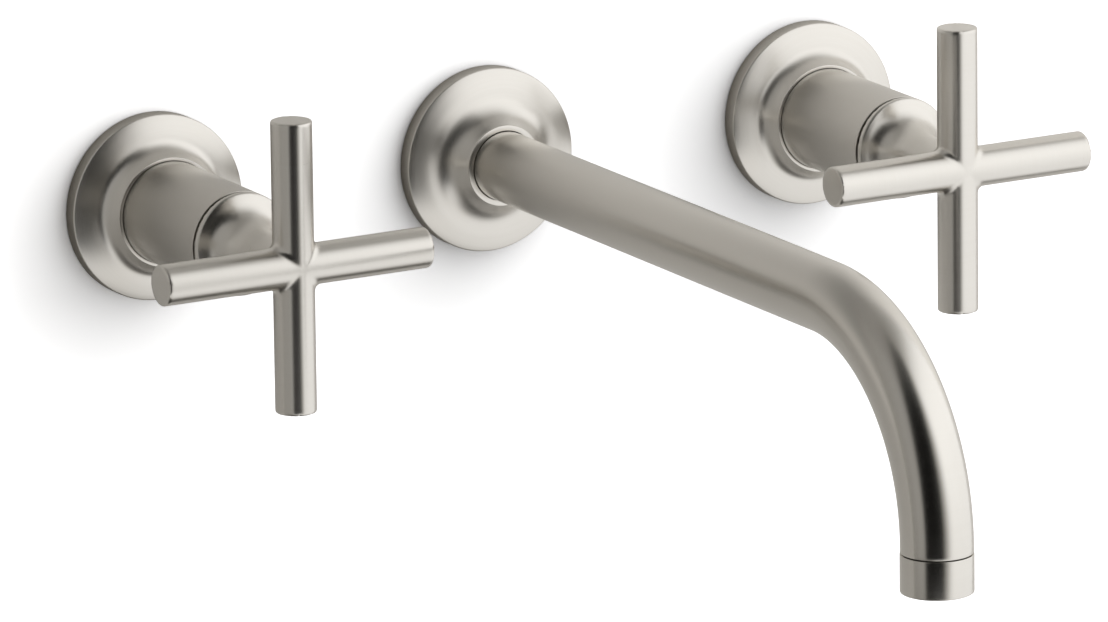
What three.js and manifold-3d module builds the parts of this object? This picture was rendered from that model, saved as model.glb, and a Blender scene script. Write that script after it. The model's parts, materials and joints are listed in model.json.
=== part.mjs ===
// Wall mounted two-handle basin faucet: 203.2 mm between handle centres,
// long right-angle spout, cross handles, and the brass rough-in valve
// set that it is fastened to inside the wall.
//
// Frame: millimetres. +X to the right seen from the room, +Z up, -Y out of
// the wall into the room. The origin is the centre of the spout flange's
// back face, on the finished wall plane y = 0.

import * as THREE from 'three';
import { mergeVertices } from 'three/addons/utils/BufferGeometryUtils.js';
import Module from 'manifold-3d';

const wasm = await Module();
wasm.setup();

// ---------------------------------------------------------------- dimensions
const HALF_SPREAD = 101.6;    // handle centre to spout centre
const GAP = 0.3;              // clearance kept between neighbouring pieces

// flanges on the wall
const FLANGE_R = 25.4;
const FLANGE_RIM = 3.9;       // straight edge height before the chamfer
const FLANGE_BACK_R = 22.6;   // inner radius of the back face

// spout
const SPOUT_R = 9.5;
const SPOUT_BORE_R = 8.0;
const SPOUT_REACH = 237.5;    // wall to outlet axis
const SPOUT_BEND_R = 54.5;
const SPOUT_TIP_Z = -55.5;    // lower end of the tube
const SPOUT_TAIL_Y = -2.0;    // rear end of the tube
const SPOUT_SCREW_Y = -17.0;

// aerator
const AERATOR_R = 9.6;
const AERATOR_BOTTOM_Z = -66.0;

// handles
const SLEEVE_R = 14.0;
const SLEEVE_BORE_R = 12.0;
const SLEEVE_FRONT_Y = -50.7;
const SLEEVE_BACK_Y = -1.5;
const HUB_BACK_Y = -51.5;
const HUB_R = 14.0;
const ARM_PLANE_Y = -81.0;    // plane of the four arms
const ARM_R = 5.5;
const ARM_L = 39.3;           // centre to end of each arm
const ARM_EDGE = 0.6;         // chamfer on the arm ends
const HANDLE_SCREW_Y = -67.0;

// rough-in valves
const NECK_R = 12.2;
const NECK_BORE_R = 9.6;
const NECK_FRONT_Y = -19.7;
const VALVE_R = 17.0;
const VALVE_FRONT_Y = 16.0;
const VALVE_BACK_Y = 52.0;
const OUTLET_Y = 20.0;        // axis of the crossover tubes
const INLET_Y = 38.0;         // axis of the supply inlets
const INLET_END_Z = -60.0;
const TUBE_R = 6.35;
const TUBE_BORE_R = 5.4;

// mounting bracket
const BRACKET_Y = 52.3;
const BRACKET_T = 2.0;
const BRACKET_H = 32.0;
const EAR_BACK_Y = 62.0;
const EAR_X0 = 121.0;
const EAR_X1 = 140.0;

// ------------------------------------------------------------------- helpers
function toManifold(geometry) {
  let g = geometry.clone();
  g.deleteAttribute('normal');
  g.deleteAttribute('uv');
  g = mergeVertices(g, 1e-4);
  const pos = g.attributes.position.array;
  let tri = Array.from(g.index.array);
  const kept = [];
  for (let i = 0; i < tri.length; i += 3) {
    const [a, b, c] = [tri[i], tri[i + 1], tri[i + 2]];
    if (a !== b && b !== c && a !== c) kept.push(a, b, c);
  }
  tri = kept;
  let volume = 0;
  for (let i = 0; i < tri.length; i += 3) {
    const [a, b, c] = [tri[i] * 3, tri[i + 1] * 3, tri[i + 2] * 3];
    volume += pos[a] * (pos[b + 1] * pos[c + 2] - pos[b + 2] * pos[c + 1])
      - pos[a + 1] * (pos[b] * pos[c + 2] - pos[b + 2] * pos[c])
      + pos[a + 2] * (pos[b] * pos[c + 1] - pos[b + 1] * pos[c]);
  }
  if (volume < 0) {
    for (let i = 0; i < tri.length; i += 3) [tri[i + 1], tri[i + 2]] = [tri[i + 2], tri[i + 1]];
  }
  return new wasm.Manifold(new wasm.Mesh({
    numProp: 3,
    vertProperties: new Float32Array(pos),
    triVerts: new Uint32Array(tri),
  }));
}

function toGeometry(solid) {
  const m = solid.getMesh();
  const g = new THREE.BufferGeometry();
  g.setAttribute('position', new THREE.BufferAttribute(new Float32Array(m.vertProperties), 3));
  g.setIndex(new THREE.BufferAttribute(new Uint32Array(m.triVerts), 1));
  g.computeVertexNormals();
  return g;
}

// Solid of revolution about the line (x, z) parallel to Y, from [radius, y] pairs.
function turnY(profile, segments, x = 0, z = 0) {
  const pts = profile.map(([r, y]) => new THREE.Vector2(r, y));
  if (profile[0][0] !== 0) pts.push(pts[0].clone());
  const g = new THREE.LatheGeometry(pts, segments);
  g.translate(x, 0, z);
  return toManifold(g);
}

// Solid of revolution about the line (x, y) parallel to Z, from [radius, z] pairs.
function turnZ(profile, segments, x = 0, y = 0) {
  const pts = profile.map(([r, z]) => new THREE.Vector2(r, z));
  if (profile[0][0] !== 0) pts.push(pts[0].clone());
  const g = new THREE.LatheGeometry(pts, segments);
  g.rotateX(Math.PI / 2);
  g.translate(x, y, 0);
  return toManifold(g);
}

// Solid of revolution about the line (y, z) parallel to X, from [radius, x] pairs.
function turnX(profile, segments, y = 0, z = 0) {
  const pts = profile.map(([r, x]) => new THREE.Vector2(r, x));
  if (profile[0][0] !== 0) pts.push(pts[0].clone());
  const g = new THREE.LatheGeometry(pts, segments);
  g.rotateZ(-Math.PI / 2);
  g.translate(0, y, z);
  return toManifold(g);
}

const rodProfile = (r, a, b) => [[0, a], [r, a], [r, b], [0, b]];
const edgedRodProfile = (r, a, b, c) => [[0, a], [r - c, a], [r, a + c], [r, b - c], [r - c, b], [0, b]];
const ringProfile = (ri, ro, a, b) => [[ri, a], [ro, a], [ro, b], [ri, b]];
const rodY = (r, y0, y1, seg, x = 0, z = 0) => turnY(rodProfile(r, y0, y1), seg, x, z);
const rodX = (r, x0, x1, seg, y = 0, z = 0) => turnX(rodProfile(r, x0, x1), seg, y, z);
const rodZ = (r, z0, z1, seg, x = 0, y = 0) => turnZ(rodProfile(r, z0, z1), seg, x, y);
const ringY = (ri, ro, y0, y1, seg) => turnY(ringProfile(ri, ro, y0, y1), seg);

// Round-section ring about Y.
function oRing(radius, section, y, segments = 16, sides = 6) {
  const profile = [];
  for (let i = 0; i < sides; i += 1) {
    const t = (2 * Math.PI * i) / sides;
    profile.push([radius + section * Math.cos(t), y + section * Math.sin(t)]);
  }
  return turnY(profile, segments);
}

// Hexagon prism along an axis, given across its corners.
function hex(cornerR, a, b, axis) {
  const g = new THREE.CylinderGeometry(cornerR, cornerR, b - a, 6);
  g.translate(0, (a + b) / 2, 0);
  if (axis === 'x') g.rotateZ(-Math.PI / 2);
  if (axis === 'z') g.rotateX(Math.PI / 2);
  return toManifold(g);
}

function boxSolid(x0, x1, y0, y1, z0, z1) {
  const g = new THREE.BoxGeometry(x1 - x0, y1 - y0, z1 - z0);
  g.translate((x0 + x1) / 2, (y0 + y1) / 2, (z0 + z1) / 2);
  return toManifold(g);
}

// A path whose equal parameter steps are chosen stations, so that straight
// runs take one step and the bend takes many.
class StationPath extends THREE.Curve {
  constructor(stations) {
    super();
    this.stations = stations;
  }
  getPoint(t, target = new THREE.Vector3()) {
    const n = this.stations.length - 1;
    const f = Math.min(Math.max(t, 0), 1) * n;
    const i = Math.min(Math.floor(f), n - 1);
    return target.lerpVectors(this.stations[i].p, this.stations[i + 1].p, f - i);
  }
  getTangent(t, target = new THREE.Vector3()) {
    const n = this.stations.length - 1;
    const f = Math.min(Math.max(t, 0), 1) * n;
    const i = Math.min(Math.floor(f), n - 1);
    return target.lerpVectors(this.stations[i].t, this.stations[i + 1].t, f - i).normalize();
  }
  getPointAt(u, target) { return this.getPoint(u, target); }
  getTangentAt(u, target) { return this.getTangent(u, target); }
}

function spoutPath(startY, endZ, bendSteps) {
  const stations = [];
  const cy = -(SPOUT_REACH - SPOUT_BEND_R);
  const cz = -SPOUT_BEND_R;
  const back = new THREE.Vector3(0, -1, 0);
  stations.push({ p: new THREE.Vector3(0, startY, 0), t: back.clone() });
  for (let i = 0; i <= bendSteps; i += 1) {
    const a = (Math.PI / 2) * (i / bendSteps);
    stations.push({
      p: new THREE.Vector3(0, cy - SPOUT_BEND_R * Math.sin(a), cz + SPOUT_BEND_R * Math.cos(a)),
      t: new THREE.Vector3(0, -Math.cos(a), -Math.sin(a)),
    });
  }
  stations.push({ p: new THREE.Vector3(0, -SPOUT_REACH, endZ), t: new THREE.Vector3(0, 0, -1) });
  return stations;
}

function sweptTube(radius, stations, sides) {
  const outline = [];
  for (let i = 0; i < sides; i += 1) {
    const t = (2 * Math.PI * i) / sides;
    outline.push(new THREE.Vector2(radius * Math.cos(t), radius * Math.sin(t)));
  }
  const g = new THREE.ExtrudeGeometry(new THREE.Shape(outline), {
    steps: stations.length - 1,
    bevelEnabled: false,
    extrudePath: new StationPath(stations),
  });
  return toManifold(g);
}

// ----------------------------------------------------------------- materials
const material = (color, roughness, metalness) =>
  new THREE.MeshStandardMaterial({ color, roughness, metalness });
const nickel = () => material(0xaaa49a, 0.32, 1.0);
const brass = () => material(0xb5924f, 0.4, 1.0);
const copper = () => material(0xb87048, 0.35, 1.0);
const steel = () => material(0x8d9094, 0.35, 1.0);
const rubber = () => material(0x17171a, 0.8, 0.0);
const foam = () => material(0x3c3d40, 0.95, 0.0);
const ceramic = () => material(0xf0ece2, 0.25, 0.0);
const nylon = () => material(0xe4e2da, 0.5, 0.0);

const faucet = new THREE.Group();

function add(parent, name, solid, mat) {
  const mesh = new THREE.Mesh(toGeometry(solid), mat);
  mesh.name = name;
  parent.add(mesh);
  return mesh;
}

// ------------------------------------------------------------------- flanges
// Front surface of a flange from its edge to its neck; y is out of the wall.
function flangeSolid(neckR, neckY, boreR, grooveY, grooveR) {
  const shoulder = [
    [FLANGE_R, 0],
    [FLANGE_R, -FLANGE_RIM],
    [24.85, -4.5],
    [22.6, -5.55],
    [19.9, -6.15],
  ];
  const span = 19.9 - neckR;
  const rise = -neckY - 6.15;
  const trumpet = [];
  for (const [u, v] of [[0.3, 0.08], [0.54, 0.24], [0.74, 0.48], [0.9, 0.77]]) {
    trumpet.push([19.9 - span * u, -(6.15 + rise * v)]);
  }
  const profile = [
    ...shoulder,
    ...trumpet,
    [neckR, neckY],
    [boreR, neckY],
    [boreR, grooveY - 1.05],
    [grooveR, grooveY - 1.05],
    [grooveR, grooveY + 1.05],
    [boreR, grooveY + 1.05],
    [boreR, -3.6],
    [boreR + 2.2, -2.6],
    [FLANGE_BACK_R, -2.2],
    [FLANGE_BACK_R, 0],
  ];
  return turnY(profile, 26);
}

// -------------------------------------------------------------- spout group
const spoutGroup = new THREE.Group();
faucet.add(spoutGroup);

add(spoutGroup, 'spout_flange', flangeSolid(11.15, -12.35, SPOUT_R + GAP, -7.4, 11.3), nickel());
add(spoutGroup, 'spout_flange_gasket', ringY(18.6, 22.2, -1.9, -0.1, 20), foam());
add(spoutGroup, 'spout_flange_oring', oRing(10.45, 0.62, -7.4), rubber());

{
  let tube = sweptTube(SPOUT_R, spoutPath(SPOUT_TAIL_Y, SPOUT_TIP_Z, 12), 24);
  tube = tube.subtract(sweptTube(SPOUT_BORE_R, spoutPath(SPOUT_TAIL_Y + 1, SPOUT_TIP_Z - 1, 12), 16));
  tube = tube.subtract(rodZ(8.35, SPOUT_TIP_Z - 1, -49.6, 20, 0, -SPOUT_REACH));
  tube = tube.subtract(rodZ(2.0, -12, -6.5, 10, 0, SPOUT_SCREW_Y));
  add(spoutGroup, 'spout_tube', tube, nickel());
}
add(spoutGroup, 'spout_set_screw',
  rodZ(1.65, -9.2, -7.3, 10, 0, SPOUT_SCREW_Y).subtract(hexAt(0.85, -9.3, -8.2, 0, SPOUT_SCREW_Y)), steel());

function hexAt(cornerR, z0, z1, x, y) {
  const g = new THREE.CylinderGeometry(cornerR, cornerR, z1 - z0, 6);
  g.rotateX(Math.PI / 2);
  g.translate(x, y, (z0 + z1) / 2);
  return toManifold(g);
}

// nipple that carries the spout: two seal grooves, a locking groove for the
// set screw, and a hex collar to drive it into the tee
{
  const profile = [
    [5.4, -27.0], [7.6, -27.0],
    [7.6, -24.2], [6.15, -24.2], [6.15, -22.2], [7.6, -22.2],
    [7.6, -18.6], [6.9, -18.6], [6.9, -15.4], [7.6, -15.4],
    [7.6, -11.4], [6.15, -11.4], [6.15, -9.4], [7.6, -9.4],
    [7.6, 14.0], [5.4, 14.0],
  ];
  let nipple = turnY(profile, 16);
  nipple = nipple.add(hex(10.4, -0.9, 3.6, 'y').subtract(rodY(6.5, -2, 5, 12)));
  add(spoutGroup, 'spout_nipple', nipple, brass());
}
add(spoutGroup, 'spout_oring_front', oRing(7.05, 0.62, -23.2), rubber());
add(spoutGroup, 'spout_oring_rear', oRing(7.05, 0.62, -10.4), rubber());

// aerator: threaded housing, flow insert, washer
{
  const profile = [
    [6.6, -50.4], [7.75, -50.4], [7.75, -55.8],
    [AERATOR_R, -55.8], [AERATOR_R, -65.6], [9.2, AERATOR_BOTTOM_Z],
    [7.2, AERATOR_BOTTOM_Z], [5.7, -64.4], [5.7, -63.6], [6.6, -63.6],
  ];
  add(spoutGroup, 'aerator_housing', turnZ(profile, 24, 0, -SPOUT_REACH), nickel());
  let insert = turnZ([[0, -53.4], [6.3, -53.4], [6.3, -63.3], [5.3, -63.3], [5.3, -60.6], [0, -60.6]], 16, 0, -SPOUT_REACH);
  for (let i = 0; i < 7; i += 1) {
    const a = (2 * Math.PI * i) / 6;
    const r = i === 6 ? 0 : 3.3;
    insert = insert.subtract(rodZ(1.15, -61.5, -52.5, 6, r * Math.cos(a), -SPOUT_REACH + r * Math.sin(a)));
  }
  add(spoutGroup, 'aerator_insert', insert, nylon());
  add(spoutGroup, 'aerator_washer',
    turnZ(ringProfile(4.6, 6.3, -53.1, -51.2), 20, 0, -SPOUT_REACH), rubber());
}

// ------------------------------------------------------------ in-wall manifold
const roughGroup = new THREE.Group();
faucet.add(roughGroup);

{
  let tee = rodX(10.5, -25, 25, 20, OUTLET_Y);
  tee = tee.add(rodY(12.0, 4.2, 26, 20));
  tee = tee.subtract(rodY(7.9, 3, 14.4, 20));
  tee = tee.subtract(rodY(5.8, 13, 20, 16));
  tee = tee.subtract(rodX(5.8, -26, 26, 16, OUTLET_Y));
  tee = tee.subtract(rodX(TUBE_R + GAP, -26, -12, 20, OUTLET_Y));
  tee = tee.subtract(rodX(TUBE_R + GAP, 12, 26, 20, OUTLET_Y));
  add(roughGroup, 'spout_tee', tee, brass());
}
for (const [tag, s] of [['hot', -1], ['cold', 1]]) {
  const a = s < 0 ? -81.6 : 12.4;
  const tube = rodX(TUBE_R, a, a + 69.2, 20, OUTLET_Y).subtract(rodX(TUBE_BORE_R, a - 1, a + 70.2, 16, OUTLET_Y));
  add(roughGroup, `crossover_tube_${tag}`, tube, copper());
  for (const [end, x0] of [['tee', 25.3], ['valve', 62.6]]) {
    const lo = s < 0 ? -(x0 + 8.7) : x0;
    const g = new THREE.CylinderGeometry(10.6, 10.6, 8.7, 6);
    g.rotateZ(-Math.PI / 2);
    g.translate(lo + 4.35, OUTLET_Y, 0);
    const nut = toManifold(g).subtract(rodX(TUBE_R + GAP, lo - 1, lo + 9.7, 20, OUTLET_Y));
    add(roughGroup, `tube_nut_${tag}_${end}`, nut, brass());
  }
}

// bracket: one strip, joggled back at both ends to the fixing ears
{
  const y0 = BRACKET_Y;
  const y1 = BRACKET_Y + BRACKET_T;
  const e1 = EAR_BACK_Y;
  const e0 = EAR_BACK_Y - BRACKET_T;
  const outline = new THREE.Shape([
    [-EAR_X1, e0], [-EAR_X0 - 0.8, e0], [-EAR_X0 + 4.2, y0], [EAR_X0 - 4.2, y0], [EAR_X0 + 0.8, e0], [EAR_X1, e0],
    [EAR_X1, e1], [EAR_X0, e1], [EAR_X0 - 5, y1], [-EAR_X0 + 5, y1], [-EAR_X0, e1], [-EAR_X1, e1],
  ].map(([x, y]) => new THREE.Vector2(x, y)));
  const g = new THREE.ExtrudeGeometry(outline, { depth: BRACKET_H, bevelEnabled: false });
  g.translate(0, 0, -BRACKET_H / 2);
  let bracket = toManifold(g);
  for (const s of [-1, 1]) {
    for (const z of [-9, 9]) {
      bracket = bracket.subtract(rodY(2.8, y0 - 2, e1 + 2, 12, s * HALF_SPREAD, z));
      bracket = bracket.subtract(rodY(2.75, e0 - 2, e1 + 2, 12, s * 131, z));
    }
  }
  add(roughGroup, 'mounting_bracket', bracket, steel());
}

// -------------------------------------------------------------- valve and trim
for (const [tag, s] of [['hot', -1], ['cold', 1]]) {
  const side = new THREE.Group();
  side.position.set(s * HALF_SPREAD, 0, 0);
  faucet.add(side);

  // wall flange, its foam gasket and the ring that grips the sleeve
  add(side, `${tag}_flange`, flangeSolid(14.95, -11.0, SLEEVE_R + GAP, -6.4, 15.8), nickel());
  add(side, `${tag}_flange_gasket`, ringY(18.6, 22.2, -1.9, -0.1, 20), foam());
  add(side, `${tag}_flange_oring`, oRing(14.95, 0.62, -6.4, 20), rubber());

  // sleeve, screwed over the valve neck
  add(side, `${tag}_sleeve`, turnY([
    [SLEEVE_BORE_R, SLEEVE_FRONT_Y], [SLEEVE_R - 0.3, SLEEVE_FRONT_Y], [SLEEVE_R, SLEEVE_FRONT_Y + 0.3],
    [SLEEVE_R, SLEEVE_BACK_Y - 0.3], [SLEEVE_R - 0.3, SLEEVE_BACK_Y], [NECK_R + GAP, SLEEVE_BACK_Y],
    [NECK_R + GAP, -21.0], [SLEEVE_BORE_R, -21.0],
  ], 28), nickel());
  add(side, `${tag}_handle_bushing`, turnY([
    [9.3, -50.4], [11.7, -50.4], [11.7, -44.2], [9.3, -44.2],
  ], 24), nylon());

  // valve body: neck, chamber, side outlet to the crossover tube, inlet below
  {
    let body = turnY([
      [0, VALVE_BACK_Y], [VALVE_R, VALVE_BACK_Y],
      [VALVE_R, VALVE_FRONT_Y], [NECK_R, VALVE_FRONT_Y],
      [NECK_R, NECK_FRONT_Y], [0, NECK_FRONT_Y],
    ], 24);
    const outer = s < 0 ? [12, 30] : [-30, -12];
    body = body.add(rodX(9.8, outer[0], outer[1], 20, OUTLET_Y));
    body = body.add(rodZ(12.0, -36, -10, 20, 0, INLET_Y));
    body = body.subtract(turnY([
      [0, NECK_FRONT_Y - 1], [NECK_BORE_R, NECK_FRONT_Y - 1], [NECK_BORE_R, 15], [12.4, 15], [12.4, 25],
      [NECK_BORE_R, 25], [NECK_BORE_R, 30.3], [5.5, 30.3], [5.5, 43.5], [0, 43.5],
    ], 20));
    body = body.subtract(s < 0 ? rodX(5.8, 8, 31, 14, OUTLET_Y) : rodX(5.8, -31, -8, 14, OUTLET_Y));
    body = body.subtract(s < 0 ? rodX(TUBE_R + GAP, 19.7, 31, 18, OUTLET_Y) : rodX(TUBE_R + GAP, -31, -19.7, 18, OUTLET_Y));
    body = body.subtract(rodZ(5.5, -30, 0, 14, 0, INLET_Y));
    body = body.subtract(rodZ(8.5, -37, -22, 20, 0, INLET_Y));
    for (const z of [-9, 9]) body = body.subtract(rodY(2.7, 45.5, VALVE_BACK_Y + 1, 10, 0, z));
    add(side, `${tag}_valve_body`, body, brass());
  }
  for (const [pos, z] of [['upper', 9], ['lower', -9]]) {
    let screw = rodY(2.35, 46.5, 55.5, 10, 0, z).add(turnY([
      [0, 54.6], [4.6, 54.6], [4.6, 56.2], [3.4, 57.4], [0, 57.4],
    ], 14, 0, z));
    const slot = new THREE.BoxGeometry(6.4, 1.6, 1.1);
    slot.translate(0, 57.3, z);
    screw = screw.subtract(toManifold(slot));
    add(side, `${tag}_bracket_screw_${pos}`, screw, steel());
  }

  // supply adapter below the valve
  {
    let adapter = turnZ([
      [6.2, -24.5], [8.2, -24.5], [8.2, -36.3], [11.6, -36.3], [11.6, -44.5],
      [10.45, -44.5], [10.45, INLET_END_Z], [6.2, INLET_END_Z],
    ], 20, 0, INLET_Y);
    const g = new THREE.CylinderGeometry(13.9, 13.9, 8.2, 6);
    g.rotateX(Math.PI / 2);
    g.translate(0, INLET_Y, -40.4);
    adapter = adapter.add(toManifold(g).subtract(rodZ(9, -50, -30, 10, 0, INLET_Y)));
    add(side, `${tag}_supply_adapter`, adapter, brass());
  }

  // screw-in ceramic cartridge
  {
    let housing = turnY([
      [0, -20.0], [9.3, -20.0], [9.3, 30.0], [0, 30.0],
    ], 20);
    housing = housing.add(hex(11.1, -26.2, -20.0, 'y'));
    housing = housing.subtract(turnY([
      [0, -27], [4.6, -27], [4.6, 16.2], [7.5, 16.2], [7.5, 31], [0, 31],
    ], 20));
    const port = new THREE.BoxGeometry(24, 4.6, 7.0);
    port.translate(0, 19.9, 0);
    housing = housing.subtract(toManifold(port));
    add(side, `${tag}_cartridge_housing`, housing, brass());
  }
  {
    // spindle with a drive plate behind and a splined end in front
    let stem = turnY([
      [0, -30.5], [4.1, -30.5], [4.1, -8.0], [3.1, -8.0], [3.1, -6.2], [4.1, -6.2],
      [4.1, 16.5], [7.1, 16.5], [7.1, 19.6], [0, 19.6],
    ], 18);
    const teeth = [];
    for (let i = 0; i < 24; i += 1) {
      const r = i % 2 ? 3.45 : 4.0;
      teeth.push(new THREE.Vector2(r * Math.cos((Math.PI * i) / 12), r * Math.sin((Math.PI * i) / 12)));
    }
    const g = new THREE.ExtrudeGeometry(new THREE.Shape(teeth), { depth: 8.5, bevelEnabled: false });
    g.rotateX(-Math.PI / 2);
    g.translate(0, -38.5, 0);
    stem = stem.add(toManifold(g));
    add(side, `${tag}_stem`, stem, brass());
  }
  add(side, `${tag}_stem_oring`, oRing(3.85, 0.42, -7.1, 12, 6), rubber());
  {
    const moving = rodY(7.1, 19.9, 22.9, 20).subtract(
      boxSolid(Math.min(-8 * s, 0.9 * s), Math.max(-8 * s, 0.9 * s), 19, 24, -4.2, 4.2).subtract(rodY(1.6, 18, 25, 8)));
    add(side, `${tag}_disc_moving`, moving, ceramic());
    const fixed = rodY(7.1, 23.2, 26.2, 20)
      .subtract(boxSolid(-3.2, 3.2, 22, 27, 1.4, 5.2))
      .subtract(boxSolid(-3.2, 3.2, 22, 27, -5.2, -1.4));
    add(side, `${tag}_disc_fixed`, fixed, ceramic());
  }
  add(side, `${tag}_seat_seal`, ringY(5.3, 7.1, 26.5, 29.9, 20), rubber());

  // stem extension: spline socket behind, round shank into the handle
  {
    let ext = turnY([
      [0, -70.0], [3.0, -70.0], [3.0, -42.6], [6.6, -42.6], [6.6, -27.2], [0, -27.2],
    ], 16);
    ext = ext.subtract(rodY(4.45, -39.6, -26, 16));
    add(side, `${tag}_stem_extension`, ext, brass());
  }

  // cross handle: bell hub, neck and four arms in one casting
  {
    let handle = turnY([
      [0, -43.0], [9.0, -43.0], [9.0, HUB_BACK_Y], [HUB_R, HUB_BACK_Y],
      [HUB_R, -53.0], [13.5, -53.35], [11.7, -53.95], [9.7, -55.3], [8.0, -57.3], [6.8, -60.0],
      [6.1, -63.5], [5.7, -70.0], [5.4, ARM_PLANE_Y], [0, ARM_PLANE_Y],
    ], 28);
    handle = handle.add(turnZ(edgedRodProfile(ARM_R, -ARM_L, ARM_L, ARM_EDGE), 20, 0, ARM_PLANE_Y));
    handle = handle.add(turnX(edgedRodProfile(ARM_R, -ARM_L, ARM_L, ARM_EDGE), 20, ARM_PLANE_Y, 0));
    handle = handle.subtract(rodY(3.3, -70.5, -42, 16));
    handle = handle.subtract(rodZ(2.0, -9, -2.6, 10, 0, HANDLE_SCREW_Y));
    add(side, `${tag}_handle`, handle, nickel());
    add(side, `${tag}_handle_set_screw`,
      rodZ(1.65, -5.5, -3.35, 10, 0, HANDLE_SCREW_Y).subtract(hexAt(0.9, -5.6, -4.5, 0, HANDLE_SCREW_Y)), steel());
  }
}

export default faucet;
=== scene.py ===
# Looks of the wall mounted two-handle basin faucet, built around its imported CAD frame.
# Lengths in the geometry code are millimetres; they become metres when a mesh is made.
import json
import math

import bmesh
import bpy
import numpy as np
from mathutils import Matrix, Vector


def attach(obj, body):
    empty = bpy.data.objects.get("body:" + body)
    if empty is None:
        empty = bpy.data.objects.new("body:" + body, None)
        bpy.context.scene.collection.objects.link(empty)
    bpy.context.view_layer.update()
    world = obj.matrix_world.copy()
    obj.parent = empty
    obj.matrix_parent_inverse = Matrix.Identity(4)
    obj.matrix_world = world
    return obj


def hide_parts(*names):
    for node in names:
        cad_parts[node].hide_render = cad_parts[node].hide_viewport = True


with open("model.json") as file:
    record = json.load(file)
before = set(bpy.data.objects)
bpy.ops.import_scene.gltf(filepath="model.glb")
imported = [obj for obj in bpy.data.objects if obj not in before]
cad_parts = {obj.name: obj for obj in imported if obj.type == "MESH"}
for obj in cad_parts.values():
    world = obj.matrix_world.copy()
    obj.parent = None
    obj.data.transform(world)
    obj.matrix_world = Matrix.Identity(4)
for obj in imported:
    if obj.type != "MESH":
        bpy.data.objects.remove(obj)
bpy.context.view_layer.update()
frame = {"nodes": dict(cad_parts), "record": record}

NODES = frame["nodes"]
SIDES = {"hot": -101.6, "cold": 101.6}

# ------------------------------------------------------------------ dimensions
SPOUT_R, SPOUT_BORE, REACH, BEND_R, TIP_Z = 9.5, 8.0, 237.5, 54.5, -55.5
ARM_Y, ARM_R, ARM_L = -81.0, 5.5, 39.3


# ------------------------------------------------------------------ mesh tools
def rounded(pts, radius=0.3, steps=4, only=None, closed=True):
    """Polygon with its corners rounded; `only` gives {index: radius} instead of one radius."""
    pts = [np.array(p, float) for p in pts]
    n, out = len(pts), []
    for i, p in enumerate(pts):
        r = (only.get(i, 0) if only is not None else radius)
        if (not closed and i in (0, n - 1)) or r <= 0:
            out.append(p)
            continue
        a, b = pts[i - 1] - p, pts[(i + 1) % n] - p
        la, lb = np.linalg.norm(a), np.linalg.norm(b)
        if la < 1e-9 or lb < 1e-9:
            continue
        a, b = a / la, b / lb
        half = math.acos(max(-1.0, min(1.0, float(a @ b)))) / 2
        cut = min(r / max(math.tan(half), 1e-6), la * 0.45, lb * 0.45)
        for k in range(steps + 1):
            t = k / steps
            q = (1 - t) ** 2 * (p + a * cut) + 2 * t * (1 - t) * p + t * t * (p + b * cut)
            out.append(q)
    return out


def spline(pts, per=8):
    """Smooth curve through 2D points (chord-length cubic with natural ends)."""
    p = np.array(pts, float)
    s = np.concatenate([[0], np.cumsum(np.linalg.norm(np.diff(p, axis=0), axis=1))])
    n = len(p)
    h = np.diff(s)
    m = np.zeros((n, n))
    rhs = np.zeros((n, 2))
    m[0, 0] = m[-1, -1] = 1
    for i in range(1, n - 1):
        m[i, i - 1], m[i, i], m[i, i + 1] = h[i - 1], 2 * (h[i - 1] + h[i]), h[i]
        rhs[i] = 6 * ((p[i + 1] - p[i]) / h[i] - (p[i] - p[i - 1]) / h[i - 1])
    k = np.linalg.solve(m, rhs)
    out = []
    for i in range(n - 1):
        for j in range(per):
            t = h[i] * j / per
            a, b = k[i], k[i + 1]
            slope = (p[i + 1] - p[i]) / h[i] - h[i] * (2 * a + b) / 6
            out.append(p[i] + slope * t + a * t * t / 2 + (b - a) * t ** 3 / (6 * h[i]))
    out.append(p[-1])
    return out


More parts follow.
